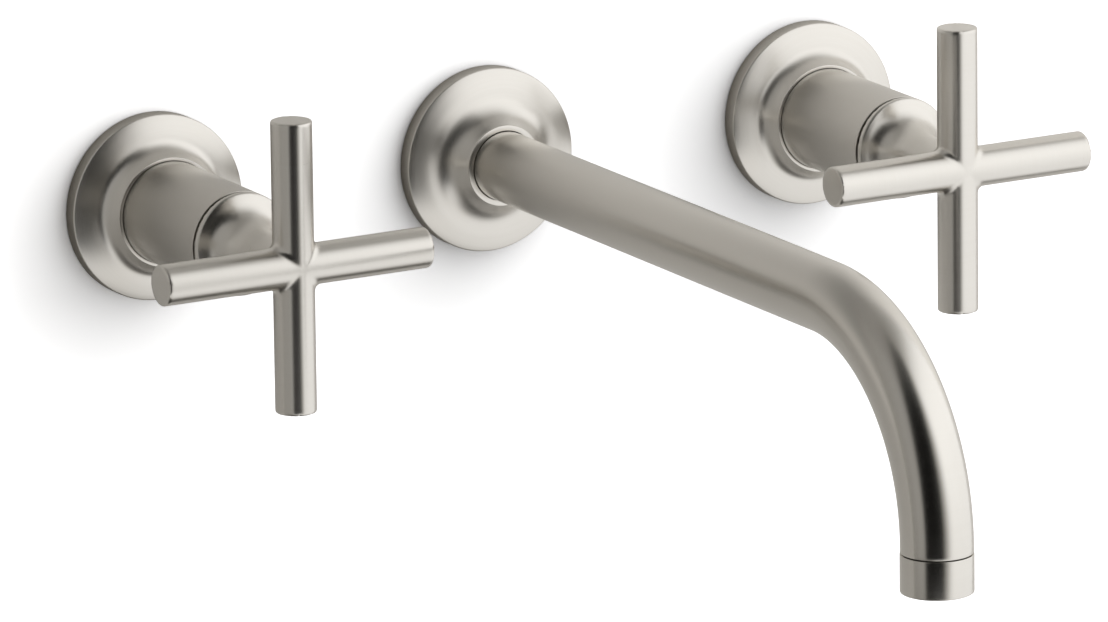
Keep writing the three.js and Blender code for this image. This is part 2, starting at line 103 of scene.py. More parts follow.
class Shells:
    """Collects closed shells as vertices, faces and a grain UV: u across the grain and v along it, in mm."""

    def __init__(self):
        self.co, self.faces, self.uv = [], [], []

    def add(self, co, faces, uv):
        co = np.asarray(co, float)
        vol = 0.0
        for f in faces:
            a = co[f[0]]
            for i in range(1, len(f) - 1):
                vol += float(np.dot(a, np.cross(co[f[i]], co[f[i + 1]])))
        if vol < 0:
            faces = [tuple(reversed(f)) for f in faces]
            uv = [tuple(reversed(u)) for u in uv]
        base = len(self.co)
        self.co.extend(co.tolist())
        self.faces.extend([tuple(int(i) + base for i in f) for f in faces])
        self.uv.extend(uv)
        return self

    def grid(self, rings, uvs, loop, closed):
        """Rings of equal length, or of length 1 at a pole, joined in order; loop: last ring joins the first."""
        co, start = [], []
        for r in rings:
            start.append(len(co))
            co.extend(r)
        faces, uv = [], []
        count = len(rings)
        for i in range(count if loop else count - 1):
            j = (i + 1) % count
            a, b = rings[i], rings[j]
            n = max(len(a), len(b))
            ua, ub = uvs[i], (uvs[j] if j else uvs[-1])
            for k in range(n if closed else n - 1):
                l = (k + 1) % n
                if len(a) == 1 and len(b) == 1:
                    continue
                if len(a) == 1:
                    faces.append((start[i], start[j] + k, start[j] + l))
                    uv.append(((ua[0], k * ub[1]), (ub[0], k * ub[1]), (ub[0], (k + 1) * ub[1])))
                elif len(b) == 1:
                    faces.append((start[i] + k, start[j], start[i] + l))
                    uv.append(((ua[0], k * ua[1]), (ub[0], k * ua[1]), (ua[0], (k + 1) * ua[1])))
                else:
                    faces.append((start[i] + k, start[j] + k, start[j] + l, start[i] + l))
                    uv.append(((ua[0], k * ua[1]), (ub[0], k * ua[1]), (ub[0], (k + 1) * ua[1]), (ua[0], (k + 1) * ua[1])))
        return self.add(co, faces, uv)

    def turn(self, profile, axis="y", at=(0, 0), seg=96, radius=None):
        """Solid of revolution from (r, t) pairs. radius(theta, r, t) may reshape each ring (hexagons, threads)."""
        prof = [tuple(map(float, p)) for p in profile]
        loop = not (prof[0][0] < 1e-6 and prof[-1][0] < 1e-6)
        th = 2 * np.pi * np.arange(seg) / seg
        rings, uvs, s = [], [], 0.0
        for i, (r, t) in enumerate(prof):
            if i:
                s += math.hypot(r - prof[i - 1][0], t - prof[i - 1][1])
            if r < 1e-6:
                ring = [(0.0, 0.0)]
            else:
                rr = np.full(seg, r) if radius is None else radius(th, r, t)
                ring = list(zip(rr * np.cos(th), rr * np.sin(th)))
            if axis == "y":
                ring = [(at[0] + a, t, at[1] + b) for a, b in ring]
            elif axis == "z":
                ring = [(at[0] + a, at[1] + b, t) for a, b in ring]
            else:
                ring = [(t, at[0] + a, at[1] + b) for a, b in ring]
            rings.append(ring)
            uvs.append((s, 2 * math.pi * max(r, 1.0) / seg))
        return self.grid(rings, uvs, loop, True)

    def piece(self, name, sharp=35.0):
        me = bpy.data.meshes.new(name)
        me.from_pydata([(x * 0.001, y * 0.001, z * 0.001) for x, y, z in self.co], [], self.faces)
        layer = me.uv_layers.new(name="grain")
        flat = [c for f in self.uv for uv in f for c in uv]
        layer.data.foreach_set("uv", np.array(flat, np.float32) * 0.05)
        me.polygons.foreach_set("use_smooth", np.ones(len(me.polygons), bool))
        me.set_sharp_from_angle(angle=math.radians(sharp))
        me.update()
        o = bpy.data.objects.new(name, me)
        bpy.context.scene.collection.objects.link(o)
        return o


def hexagon(flat_r, chamfer=None, phase=0.0):
    """Ring shape for turn(): the smaller of a hexagon with that inner radius and the turned radius."""
    def shape(th, r, t):
        a = np.mod(th - phase + math.pi / 6, math.pi / 3) - math.pi / 6
        return np.minimum(flat_r / np.cos(a), r)
    return shape


def thread(pitch, depth, z0, z1, taper=0.0):
    """Ring shape for turn(): a helical V thread between z0 and z1 that runs out at both ends."""
    def shape(th, r, t):
        fade = np.clip(min(t - z0, z1 - t) / pitch, 0, 1)
        w = np.mod(t / pitch + th / (2 * math.pi), 1.0)
        return r - depth * fade * np.abs(2 * w - 1) * 1.15
    return shape


def smooth_nodes(o, sharp=32.0):
    """Shades a carried-over CAD node: round faces smooth, real edges sharp. Its vertices stay as they are."""
    me = o.data
    me.polygons.foreach_set("use_smooth", np.ones(len(me.polygons), bool))
    if "custom_normal" in me.attributes:
        me.attributes.remove(me.attributes["custom_normal"])
    me.set_sharp_from_angle(angle=math.radians(sharp))
    me.update()


def bevelled(o, width=0.25, angle=40.0, segments=2):
    m = o.modifiers.new("edge", "BEVEL")
    m.width, m.segments, m.limit_method, m.angle_limit = width * 0.001, segments, "ANGLE", math.radians(angle)
    m.harden_normals = False
    return o


def cut_by(o, cutter):
    """Boolean difference, applied; the cutter goes away."""
    m = o.modifiers.new("cut", "BOOLEAN")
    m.operation, m.object, m.solver = "DIFFERENCE", cutter, "EXACT"
    dg = bpy.context.evaluated_depsgraph_get()
    me = bpy.data.meshes.new_from_object(o.evaluated_get(dg))
    o.modifiers.clear()
    o.data = me
    bpy.data.objects.remove(cutter)
    return o


# ------------------------------------------------- rounded solids from distances
def sd_polygon(px, py, poly):
    d = np.full(px.shape, 1e9)
    s = np.ones(px.shape)
    n = len(poly)
    for i in range(n):
        ax, ay = poly[i]
        bx, by = poly[i - 1]
        ex, ey = bx - ax, by - ay
        wx, wy = px - ax, py - ay
        t = np.clip((wx * ex + wy * ey) / (ex * ex + ey * ey + 1e-12), 0, 1)
        dx, dy = wx - ex * t, wy - ey * t
        d = np.minimum(d, dx * dx + dy * dy)
        c1, c2, c3 = py >= ay, py < by, ex * wy > ey * wx
        s = np.where((c1 & c2 & c3) | (~c1 & ~c2 & ~c3), -s, s)
    return s * np.sqrt(d)


def sd_rod(p, axis, r, lo, hi, edge, at=(0.0, 0.0)):
    """Round bar along an axis with rounded end edges."""
    o = [i for i in range(3) if i != axis]
    q = np.hypot(p[:, o[0]] - at[0], p[:, o[1]] - at[1]) - (r - edge)
    w = np.abs(p[:, axis] - (lo + hi) / 2) - ((hi - lo) / 2 - edge)
    return np.minimum(np.maximum(q, w), 0) + np.hypot(np.maximum(q, 0), np.maximum(w, 0)) - edge


def join(a, b, k):
    """Union with a round fillet of radius k, which may differ from point to point."""
    k = np.maximum(k, 1e-6)
    return np.maximum(k, np.minimum(a, b)) - np.hypot(np.maximum(k - a, 0), np.maximum(k - b, 0))


def nets(f, lo, hi, h):
    """Quad mesh of the surface f = 0 on a grid of pitch h, each vertex then moved onto the surface."""
    lo, hi = np.array(lo, float), np.array(hi, float)
    n = np.ceil((hi - lo) / h).astype(int) + 1
    axes = [lo[i] + h * np.arange(n[i]) for i in range(3)]
    pts = np.stack(np.meshgrid(*axes, indexing="ij"), -1).reshape(-1, 3)
    val = f(pts).reshape(n)
    c = n - 1
    total = int(c.prod())
    cnt = np.zeros(total)
    acc = np.zeros((total, 3))
    quads = []
    for a in range(3):
        b, d = (a + 1) % 3, (a + 2) % 3
        s0, s1 = [slice(None)] * 3, [slice(None)] * 3
        s0[a], s1[a] = slice(0, -1), slice(1, None)
        va, vb = val[tuple(s0)], val[tuple(s1)]
        idx = np.argwhere((va < 0) != (vb < 0))
        ok = (idx[:, b] > 0) & (idx[:, b] < n[b] - 1) & (idx[:, d] > 0) & (idx[:, d] < n[d] - 1)
        idx = idx[ok]
        x, y = va[tuple(idx.T)], vb[tuple(idx.T)]
        p = lo + h * idx.astype(float)
        p[:, a] += h * x / (x - y)
        four = []
        for db, dd in ((-1, -1), (0, -1), (0, 0), (-1, 0)):
            j = idx.copy()
            j[:, b] += db
            j[:, d] += dd
            cell = (j[:, 0] * c[1] + j[:, 1]) * c[2] + j[:, 2]
            four.append(cell)
            cnt += np.bincount(cell, minlength=total)
            for k in range(3):
                acc[:, k] += np.bincount(cell, weights=p[:, k], minlength=total)
        q = np.stack(four, 1)
        out = x >= 0
        q[out] = q[out][:, ::-1]
        quads.append(q)
    quads = np.concatenate(quads)
    used, inverse = np.unique(quads, return_inverse=True)
    quads = inverse.reshape(quads.shape)
    co = acc[used] / cnt[used][:, None]
    for step in range(3):
        d0 = f(co)
        g = np.zeros_like(co)
        e = 0.02
        for k in range(3):
            q = co.copy()
            q[:, k] += e
            r = co.copy()
            r[:, k] -= e
            g[:, k] = (f(q) - f(r)) / (2 * e)
        move = d0[:, None] * g / np.maximum((g * g).sum(1), 0.25)[:, None]
        length = np.linalg.norm(move, axis=1)
        move *= np.minimum(1, 0.4 * h / np.maximum(length, 1e-9))[:, None]
        co = co - move
        if step < 2:      # even out the spacing along the surface between the two projections
            total_n = np.zeros(len(co))
            mean = np.zeros_like(co)
            for i in range(4):
                for j in ((i + 1) % 4, (i + 3) % 4):
                    total_n += np.bincount(quads[:, i], minlength=len(co))
                    for k in range(3):
                        mean[:, k] += np.bincount(quads[:, i], weights=co[quads[:, j], k], minlength=len(co))
            mean /= total_n[:, None]
            gn = g / np.maximum(np.linalg.norm(g, axis=1), 1e-9)[:, None]
            shift = mean - co
            shift -= (shift * gn).sum(1)[:, None] * gn
            co = co + 0.5 * shift
    return co, quads


# ------------------------------------------------------------------- materials
def nodes_of(name):
    m = bpy.data.materials.new(name)
    m.use_nodes = True
    t = m.node_tree
    for n in list(t.nodes):
        t.nodes.remove(n)
    out = t.nodes.new("ShaderNodeOutputMaterial")
    b = t.nodes.new("ShaderNodeBsdfPrincipled")
    t.links.new(b.outputs[0], out.inputs[0])
    return m, t, b


def node(t, kind, **sockets):
    n = t.nodes.new(kind)
    for k, v in sockets.items():
        if hasattr(n, k) and not isinstance(getattr(n, k), bpy.types.bpy_prop_collection):
            setattr(n, k, v)
    return n


def maths(t, op, a, b=None, c=None):
    n = t.nodes.new("ShaderNodeMath")
    n.operation = op
    for i, v in enumerate((a, b, c)):
        if v is None:
            continue
        if isinstance(v, (int, float)):
            n.inputs[i].default_value = v
        else:
            t.links.new(v, n.inputs[i])
    return n.outputs[0]


def vmaths(t, op, a, b=None, scale=None):
    n = t.nodes.new("ShaderNodeVectorMath")
    n.operation = op
    for i, v in enumerate((a, b)):
        if v is None:
            continue
        if isinstance(v, (tuple, list)):
            n.inputs[i].default_value = v
        else:
            t.links.new(v, n.inputs[i])
    if scale is not None:
        n.inputs["Scale"].default_value = scale
    return n.outputs[0] if op not in ("LENGTH", "DOT_PRODUCT") else n.outputs["Value"]


def noise(t, vec, scale, detail=2.0, rough=0.5):
    n = t.nodes.new("ShaderNodeTexNoise")
    n.inputs["Scale"].default_value = scale
    n.inputs["Detail"].default_value = detail
    n.inputs["Roughness"].default_value = rough
    t.links.new(vec, n.inputs["Vector"])
    return n.outputs["Fac"]


def spread(t, fac, lo, hi, a=0.3, b=0.7):
    n = t.nodes.new("ShaderNodeMapRange")
    n.inputs["From Min"].default_value = a
    n.inputs["From Max"].default_value = b
    n.inputs["To Min"].default_value = lo
    n.inputs["To Max"].default_value = hi
    t.links.new(fac, n.inputs["Value"])
    return n.outputs[0]


def tint(t, fac, dark, light):
    n = t.nodes.new("ShaderNodeMix")
    n.data_type = "RGBA"
    n.inputs[6].default_value = (*dark, 1)
    n.inputs[7].default_value = (*light, 1)
    t.links.new(fac, n.inputs[0])
    return n.outputs[2]


def bump(t, b, height, distance, strength=1.0):
    n = t.nodes.new("ShaderNodeBump")
    n.inputs["Distance"].default_value = distance
    n.inputs["Strength"].default_value = strength
    t.links.new(height, n.inputs["Height"])
    t.links.new(n.outputs[0], b.inputs["Normal"])


NICKEL = (0.715, 0.692, 0.650)


def brushed_nickel(name, rough=0.27, aniso=0.45, grain=1.0, line=0.0, base=NICKEL):
    """Satin nickel: grain that runs along v of the grain map, with fine lines, faint colour and roughness change."""
    m, t, b = nodes_of(name)
    b.inputs["Metallic"].default_value = 1.0
    b.inputs["Anisotropic"].default_value = aniso
    tc = node(t, "ShaderNodeTexCoord")
    uvn = t.nodes.new("ShaderNodeUVMap")
    uvn.uv_map = "grain"
    sep = t.nodes.new("ShaderNodeSeparateXYZ")
    t.links.new(uvn.outputs[0], sep.inputs[0])
    across = maths(t, "MULTIPLY", sep.outputs[0], 20.0)           # mm across the grain
    comb = t.nodes.new("ShaderNodeCombineXYZ")
    t.links.new(across, comb.inputs[0])
    place = vmaths(t, "SCALE", tc.outputs["Object"], scale=1000.0)
    slow = vmaths(t, "SCALE", place, scale=0.05)
    lines = vmaths(t, "ADD", comb.outputs[0], slow)
    fine = noise(t, lines, 5.0, 3.0, 0.65)
    wide = noise(t, lines, 1.1, 2.0, 0.5)
    cloud = noise(t, place, 0.09, 3.0, 0.55)
    streak = maths(t, "ADD", maths(t, "MULTIPLY", fine, 0.6), maths(t, "MULTIPLY", wide, 0.4))
    shade = maths(t, "ADD", maths(t, "MULTIPLY", streak, 0.7), maths(t, "MULTIPLY", cloud, 0.3))
    k = 0.045 * grain
    t.links.new(tint(t, spread(t, shade, 0, 1),
                     tuple(c * (1 - k) * f for c, f in zip(base, (1, 0.995, 0.985))),
                     tuple(min(1, c * (1 + k)) for c in base)), b.inputs["Base Color"])
    t.links.new(spread(t, shade, rough - 0.035 * grain, rough + 0.035 * grain), b.inputs["Roughness"])
    tan = t.nodes.new("ShaderNodeTangent")
    tan.direction_type = "UV_MAP"
    tan.uv_map = "grain"
    t.links.new(tan.outputs[0], b.inputs["Tangent"])
    bump(t, b, fine, 0.000006 * grain, 1.0)
    return m


def cast_metal(name, dark, light, rough=0.38, grain=0.9, bump_mm=0.05, aniso=0.0):
    """Cast or dull machined metal: grainy skin with patches of tarnish."""
    m, t, b = nodes_of(name)
    b.inputs["Metallic"].default_value = 1.0
    b.inputs["Anisotropic"].default_value = aniso
    tc = node(t, "ShaderNodeTexCoord")
    place = vmaths(t, "SCALE", tc.outputs["Object"], scale=1000.0)
    fine = noise(t, place, 2.2, 4.0, 0.65)
    patch = noise(t, place, 0.12, 4.0, 0.6)
    mixv = maths(t, "ADD", maths(t, "MULTIPLY", fine, 0.35), maths(t, "MULTIPLY", patch, 0.65))
    t.links.new(tint(t, spread(t, mixv, 0, 1, 0.32, 0.66), dark, light), b.inputs["Base Color"])
    t.links.new(spread(t, mixv, rough + 0.12, rough - 0.06), b.inputs["Roughness"])
    bump(t, b, fine, bump_mm * 0.001, grain)
    return m


def machined(name, dark, light, axis, centre, rough=0.28, pitch=2.0):
    """Turned metal: fine tool lines round the axis through centre (two coordinates, mm)."""
    m, t, b = nodes_of(name)
    b.inputs["Metallic"].default_value = 1.0
    tc = node(t, "ShaderNodeTexCoord")
    place = vmaths(t, "SCALE", tc.outputs["Object"], scale=1000.0)
    keep = {"x": (1, 0, 0), "y": (0, 1, 0), "z": (0, 0, 1)}[axis]
    drop = tuple(1 - k for k in keep)
    mid = {"x": (0, centre[0], centre[1]), "y": (centre[0], 0, centre[1]), "z": (centre[0], centre[1], 0)}[axis]
    radial = vmaths(t, "LENGTH", vmaths(t, "MULTIPLY", vmaths(t, "SUBTRACT", place, mid), drop))
    along = vmaths(t, "DOT_PRODUCT", place, keep)
    comb = t.nodes.new("ShaderNodeCombineXYZ")
    t.links.new(radial, comb.inputs[0])
    t.links.new(along, comb.inputs[1])
    lines = noise(t, vmaths(t, "ADD", comb.outputs[0], vmaths(t, "SCALE", place, scale=0.04)), pitch, 3.0, 0.6)
    patch = noise(t, place, 0.1, 4.0, 0.6)
    mixv = maths(t, "ADD", maths(t, "MULTIPLY", lines, 0.5), maths(t, "MULTIPLY", patch, 0.5))
    t.links.new(tint(t, spread(t, mixv, 0, 1, 0.32, 0.68), dark, light), b.inputs["Base Color"])
    t.links.new(spread(t, mixv, rough + 0.1, rough - 0.04), b.inputs["Roughness"])
    bump(t, b, lines, 0.00002, 0.8)
    return m


def soft_stuff(name, dark, light, rough, scale, bump_mm, speck=0.0, sub=0.0, ior=1.5, spec=0.5):
    """Rubber, foam, plastic and ceramic: a fine surface grain with slow colour change."""
    m, t, b = nodes_of(name)
    b.inputs["IOR"].default_value = ior
    b.inputs["Specular IOR Level"].default_value = spec
    tc = node(t, "ShaderNodeTexCoord")
    place = vmaths(t, "SCALE", tc.outputs["Object"], scale=1000.0)
    fine = noise(t, place, scale, 4.0, 0.6)
    patch = noise(t, place, 0.2, 3.0, 0.5)
    mixv = maths(t, "ADD", maths(t, "MULTIPLY", fine, 0.5), maths(t, "MULTIPLY", patch, 0.5))
    t.links.new(tint(t, spread(t, mixv, 0, 1, 0.35, 0.65), dark, light), b.inputs["Base Color"])
    t.links.new(spread(t, mixv, rough - 0.06, rough + 0.06), b.inputs["Roughness"])
    bump(t, b, fine, bump_mm * 0.001, 0.9)
    if sub:
        b.inputs["Subsurface Weight"].default_value = sub
        b.inputs["Subsurface Scale"].default_value = 0.002
    return m


M_FLANGE = brushed_nickel("nickel_flange", rough=0.31, aniso=0.5, grain=0.55)
# painted shade: the sleeves get the same nickel at 0.9 of its colour, darker to stand in for the dimmer reflections
# they show
M_SLEEVE = brushed_nickel("nickel_sleeve_painted_darker", rough=0.29, aniso=0.45, grain=0.28, base=tuple(0.9 * c for c in NICKEL))
M_SPOUT = brushed_nickel("nickel_spout", rough=0.25, aniso=0.4, grain=0.4)
M_HANDLE = brushed_nickel("nickel_handle", rough=0.285, aniso=0.3, grain=0.4)
M_TIP = brushed_nickel("nickel_tip", rough=0.26, aniso=0.45, grain=0.5)
BRASS_D, BRASS_L = (0.36, 0.235, 0.085), (0.66, 0.47, 0.19)
M_CAST = cast_metal("brass_cast", BRASS_D, BRASS_L, rough=0.4, bump_mm=0.06)
M_COPPER = machined("copper_drawn", (0.42, 0.165, 0.075), (0.78, 0.38, 0.22), "x", (20.0, 0.0), rough=0.3, pitch=1.2)
M_ZINC = cast_metal("zinc_plated_steel", (0.30, 0.31, 0.32), (0.60, 0.61, 0.60), rough=0.34, bump_mm=0.012)
M_RUBBER = soft_stuff("black_rubber", (0.008, 0.008, 0.009), (0.022, 0.022, 0.024), 0.55, 3.0, 0.01, spec=0.4)
M_FOAM = soft_stuff("grey_foam", (0.012, 0.012, 0.013), (0.075, 0.075, 0.08), 0.95, 1.8, 0.35, spec=0.15)
M_CERAMIC = soft_stuff("alumina", (0.72, 0.69, 0.62), (0.86, 0.84, 0.78), 0.16, 1.0, 0.002, spec=0.6, ior=1.7)
M_NYLON = soft_stuff("nylon", (0.66, 0.645, 0.60), (0.78, 0.765, 0.72), 0.42, 1.4, 0.01, sub=0.15)

FINISH = {
    "brushed_nickel": M_HANDLE, "brass": M_CAST, "copper": M_COPPER, "steel": M_ZINC,
    "rubber": M_RUBBER, "foam": M_FOAM, "ceramic": M_CERAMIC, "nylon": M_NYLON,
}


def place(o, body, slot, mat, *stands_for):
    o.data.materials.clear()
    o.data.materials.append(mat)
    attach(o, body)
    if stands_for:
        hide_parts(*stands_for)
    return o


# --------------------------------------------------------------------- flanges
def flange_profile(neck_r, neck_h, bore, groove_h, groove_r, lip):
    """Closed (r, y) outline of a wall flange; h is out from the wall."""
    span, rise = 19.9 - neck_r, neck_h - 6.15
    face = [(25.1, 4.48), (24.4, 4.78), (22.7, 5.38), (19.9, 6.15)]
    face += [(19.9 - span * u, 6.15 + rise * v) for u, v in ((0.3, 0.08), (0.54, 0.24), (0.74, 0.48), (0.9, 0.77))]
    face += [(neck_r + 0.03, neck_h - lip)]
    front = [(25.4, 0.0), (25.4, 4.08), (25.37, 4.24), (25.28, 4.37)]
    front += [tuple(p) for p in spline(face, 7)]
    front += [(neck_r - 0.02, neck_h - 0.45 * lip), (neck_r - 0.12 * lip, neck_h - 0.12 * lip), (neck_r - 0.5 * lip, neck_h)]
    back = [(bore + 0.14, neck_h), (bore + 0.03, neck_h - 0.03), (bore, neck_h - 0.14),
            (bore, groove_h + 1.05), (groove_r, groove_h + 1.05), (groove_r, groove_h - 1.05), (bore, groove_h - 1.05),
            (bore, 3.6), (bore + 2.2, 2.6), (22.4, 2.2), (22.6, 2.05), (22.6, 0.15), (22.75, 0.0), (25.25, 0.0)]
    return [(r, -h) for r, h in front[1:] + back] + [(25.4, -0.12)]


o = Shells().turn(flange_profile(11.15, 12.35, 9.68, 7.4, 11.3, 0.4), "y", (0, 0), 176).piece("Spout_Flange")
place(o, "fixed_body", "brushed_nickel", M_FLANGE, "spout_flange")
for tag, x in SIDES.items():
    o = Shells().turn(flange_profile(14.95, 11.0, 14.12, 6.4, 15.8, 0.25), "y", (x, 0), 176).piece(f"{tag.title()}_Flange")
    place(o, "fixed_body", "brushed_nickel", M_FLANGE, f"{tag}_flange")

# foam gaskets, with a slightly swollen edge
for tag, x, key in (("Spout", 0.0, "spout"), ("Hot", -101.6, "hot"), ("Cold", 101.6, "cold")):
    ring = rounded([(18.6, -1.9), (22.2, -1.9), (22.2, -0.1), (18.6, -0.1)], 0.5, 4)
    o = Shells().turn(ring, "y", (x, 0), 96).piece(f"{tag}_Flange_Gasket")
    place(o, "fixed_body", "foam", M_FOAM, f"{key}_flange_gasket")

# --------------------------------------------------------------------- sleeves
for tag, x in SIDES.items():
    prof = rounded([(12.0, -50.7), (14.0, -50.7), (14.0, -1.5), (12.5, -1.5), (12.5, -21.0), (12.0, -21.0)],
                   steps=4, only={0: 0.2, 1: 0.18, 2: 0.3, 3: 0.2})
    o = Shells().turn(prof, "y", (x, 0), 144).piece(f"{tag.title()}_Sleeve")
    place(o, "fixed_body", "brushed_nickel", M_SLEEVE, f"{tag}_sleeve")
    ring = rounded([(9.3, -50.1), (11.7, -50.1), (11.7, -44.2), (9.3, -44.2)], 0.3, 3)
    o = Shells().turn(ring, "y", (x, 0), 72).piece(f"{tag.title()}_Handle_Bushing")
    place(o, "fixed_body", "nylon", M_NYLON, f"{tag}_handle_bushing")


# ----------------------------------------------------------------------- spout
def spout_path(steps):
    """Points and directions of the centreline from the wall end to the tip."""
    out = [((0.0, y, 0.0), (0.0, -1.0, 0.0)) for y in np.linspace(-2.0, -183.0, 40)[:-1]]
    for i in range(steps + 1):
        a = (math.pi / 2) * i / steps
        out.append(((0.0, -183.0 - BEND_R * math.sin(a), -BEND_R + BEND_R * math.cos(a)), (0.0, -math.cos(a), -math.sin(a))))
    return out + [((0.0, -REACH, TIP_Z), (0.0, 0.0, -1.0))]


def spout_tube():
    path = spout_path(72)
    seg = 112
    th = 2 * np.pi * np.arange(seg) / seg
    side = np.array([1.0, 0.0, 0.0])
    rings, uvs = [], []

    def ring(p, d, r, s):
        up = np.cross(side, np.array(d))
        rings.append([tuple(np.array(p) + r * (math.cos(a) * side + math.sin(a) * up)) for a in th])
        uvs.append((s, 2 * math.pi * r / seg))

    s = 0.0
    (p0, d0), (p1, d1) = path[0], path[-1]
    e = 0.22
    for r, back in ((SPOUT_BORE, 0.0), (SPOUT_R - e, 0.0), (SPOUT_R - 0.3 * e, -0.3 * e)):
        ring(tuple(np.array(p0) - back * -np.array(d0) * -1), d0, r, s)
        s += 0.5
    last = np.array(p0)
    for i, (p, d) in enumerate(path):
        q = np.array(p, float)
        if i == 0:
            q = q + np.array(d) * e
        if i == len(path) - 1:
            q = q - np.array(d) * e
        s += float(np.linalg.norm(q - last))
        last = q
        ring(tuple(q), d, SPOUT_R, s)
    tip, dt = np.array(p1), np.array(d1)
    ring(tuple(tip - dt * 0.3 * e), d1, SPOUT_R - 0.3 * e, s + 0.2)
    ring(tuple(tip), d1, SPOUT_R - e, s + 0.4)
    ring(tuple(tip), d1, 8.35, s + 1.2)
    ring((0.0, -REACH, -49.6), d1, 8.35, s + 7)
    ring((0.0, -REACH, -49.6), d1, SPOUT_BORE, s + 7.3)
    inner = spout_path(24)[:-1]
    for i, (p, d) in enumerate(reversed(inner[1:])):
        if p[1] < -183.0 + 1e-6 or p[1] > -12:
            ring(p, d, SPOUT_BORE, s + 8 + i)
    return Shells().grid(rings, uvs, True, True)


o = spout_tube().piece("Spout_Tube")
hole = Shells().turn([(0, -12), (2.0, -12), (2.0, -6.5), (0, -6.5)], "z", (0, -17.0), 40).piece("cutter")
place(cut_by(o, hole), "fixed_body", "brushed_nickel", M_SPOUT, "spout_tube")

prof = rounded([(6.6, -50.4), (7.75, -50.4), (7.75, -55.8), (9.6, -55.8), (9.6, -66.0), (7.2, -66.0), (5.7, -64.4), (5.7, -63.6), (6.6, -63.6)],
               steps=4, only={0: 0.1, 1: 0.15, 3: 0.2, 4: 0.4, 5: 0.25, 6: 0.3, 7: 0.2})
o = Shells().turn(prof, "z", (0, -REACH), 128).piece("Aerator_Housing")
place(o, "fixed_body", "brushed_nickel", M_TIP, "aerator_housing")

# flow insert: cup with seven round ports
def insert_distance(p):
    x, y, z = p[:, 0], p[:, 1] + REACH, p[:, 2]
    r = np.hypot(x, y)
    d = sd_rod(p, 2, 6.3, -63.3, -53.4, 0.3, (0.0, -REACH))
    cup = np.maximum(r - 5.3, z + 60.6)
    ports = np.full(len(p), 9.0)
    for i in range(7):
        a, c = math.pi / 3 * i + 0.1, (0 if i == 6 else 3.3)
        ports = np.minimum(ports, np.hypot(x - c * math.cos(a), y - c * math.sin(a)) - 1.15)
    hollow = np.minimum(cup, ports)
    # the ports' and the cup's rims are broken by 0.15 mm
    return np.maximum(np.maximum(d, -hollow), (d - hollow) * 0.70711 + 0.106)


co, quads = nets(insert_distance, (-6.9, -REACH - 6.9, -64.0), (6.9, -REACH + 6.9, -52.8), 0.3)
s = Shells()
s.co, s.faces = co.tolist(), [tuple(int(i) for i in f) for f in quads]
s.uv = [[(0.0, 0.0)] * 4 for _ in quads]
place(s.piece("Aerator_Insert", 50), "fixed_body", "nylon", M_NYLON, "aerator_insert")


# --------------------------------------------------------------------- handles
HUB = [(0, -43.0), (9.0, -43.0), (9.0, -51.5), (13.86, -51.5), (14.0, -51.64), (14.0, -52.75), (13.8, -53.05), (13.35, -53.25)]
HUB += [tuple(p) for p in spline([(13.3, -53.27), (12.6, -53.62), (11.7, -53.98), (9.7, -55.25), (8.0, -57.3), (6.8, -60.0), (6.1, -63.5), (5.7, -70.0), (5.4, -76.0)], 5)]
HUB += [(5.4, -81.0), (0, -81.0)]


def handle_distance(p):
    q = p.copy()
    r = np.hypot(q[:, 0], q[:, 2])
    d = np.full(len(q), 50.0)
    near = (r < 19) & (q[:, 1] > -84)
    poly = [(a, b) for a, b in HUB[1:-1]]
    poly = [(-1.0, -43.0)] + poly + [(-1.0, -81.0)]
    d[near] = sd_polygon(r[near], q[near, 1], poly)
    d[~near] = np.minimum(d[~near], np.maximum(r[~near] - 15, 3.0))
    up = sd_rod(q, 2, ARM_R, -ARM_L, ARM_L, 0.55, (0.0, ARM_Y))
    across = sd_rod(q, 0, ARM_R, -ARM_L, ARM_L, 0.55, (ARM_Y, 0.0))
    # fillets shrink to nothing where the two round surfaces share a direction
    x, y, z = q[:, 0], q[:, 1] - ARM_Y, q[:, 2]
    ru, ra, rh = np.hypot(x, y) + 1e-9, np.hypot(y, z) + 1e-9, np.hypot(x, z) + 1e-9
    cross = join(up, across, 2.0 * np.clip(1 - np.abs(y * y / (ru * ra)), 0, 1))
    share = np.where(up < across, np.abs(x * x / (ru * rh)), np.abs(z * z / (ra * rh)))
    return join(cross, d, 2.0 * np.clip(1 - share, 0, 1))


def handle_mesh():
    co, quads = nets(handle_distance, (-40.6, -88.0, -40.6), (40.6, -42.0, 40.6), 0.56)
    mid = co[quads].mean(1)
    x, y, z = mid[:, 0], mid[:, 1] - ARM_Y, mid[:, 2]
    hub = np.hypot(x, z) < 14.5
    hub &= (y > 6.0) | ((y > 3.0) & (np.hypot(x, z) < 6.2))
    along_x = (np.abs(x) >= np.abs(z)) & ~hub
    uv = []
    c = co[quads]
    for i in range(len(quads)):
        if hub[i]:
            uv.append([(c[i, k, 1] + math.hypot(c[i, k, 0], c[i, k, 2]), 6 * math.atan2(c[i, k, 2], c[i, k, 0])) for k in range(4)])
        elif along_x[i]:
            uv.append([(abs(c[i, k, 0]) - math.hypot(c[i, k, 2], c[i, k, 1] - ARM_Y), 5.5 * math.atan2(c[i, k, 2], c[i, k, 1] - ARM_Y)) for k in range(4)])
        else:
            uv.append([(abs(c[i, k, 2]) - math.hypot(c[i, k, 0], c[i, k, 1] - ARM_Y), 5.5 * math.atan2(c[i, k, 0], c[i, k, 1] - ARM_Y)) for k in range(4)])
    for f in uv:            # keep a face's v on one side of the wrap
        vs = [b for _, b in f]
        if max(vs) - min(vs) > 12:
            turn = 2 * math.pi * (6 if max(vs) - min(vs) > 36 else 5.5)
            for k, (a, b) in enumerate(f):
                if b < 0:
                    f[k] = (a, b + turn)
    return co, quads, uv


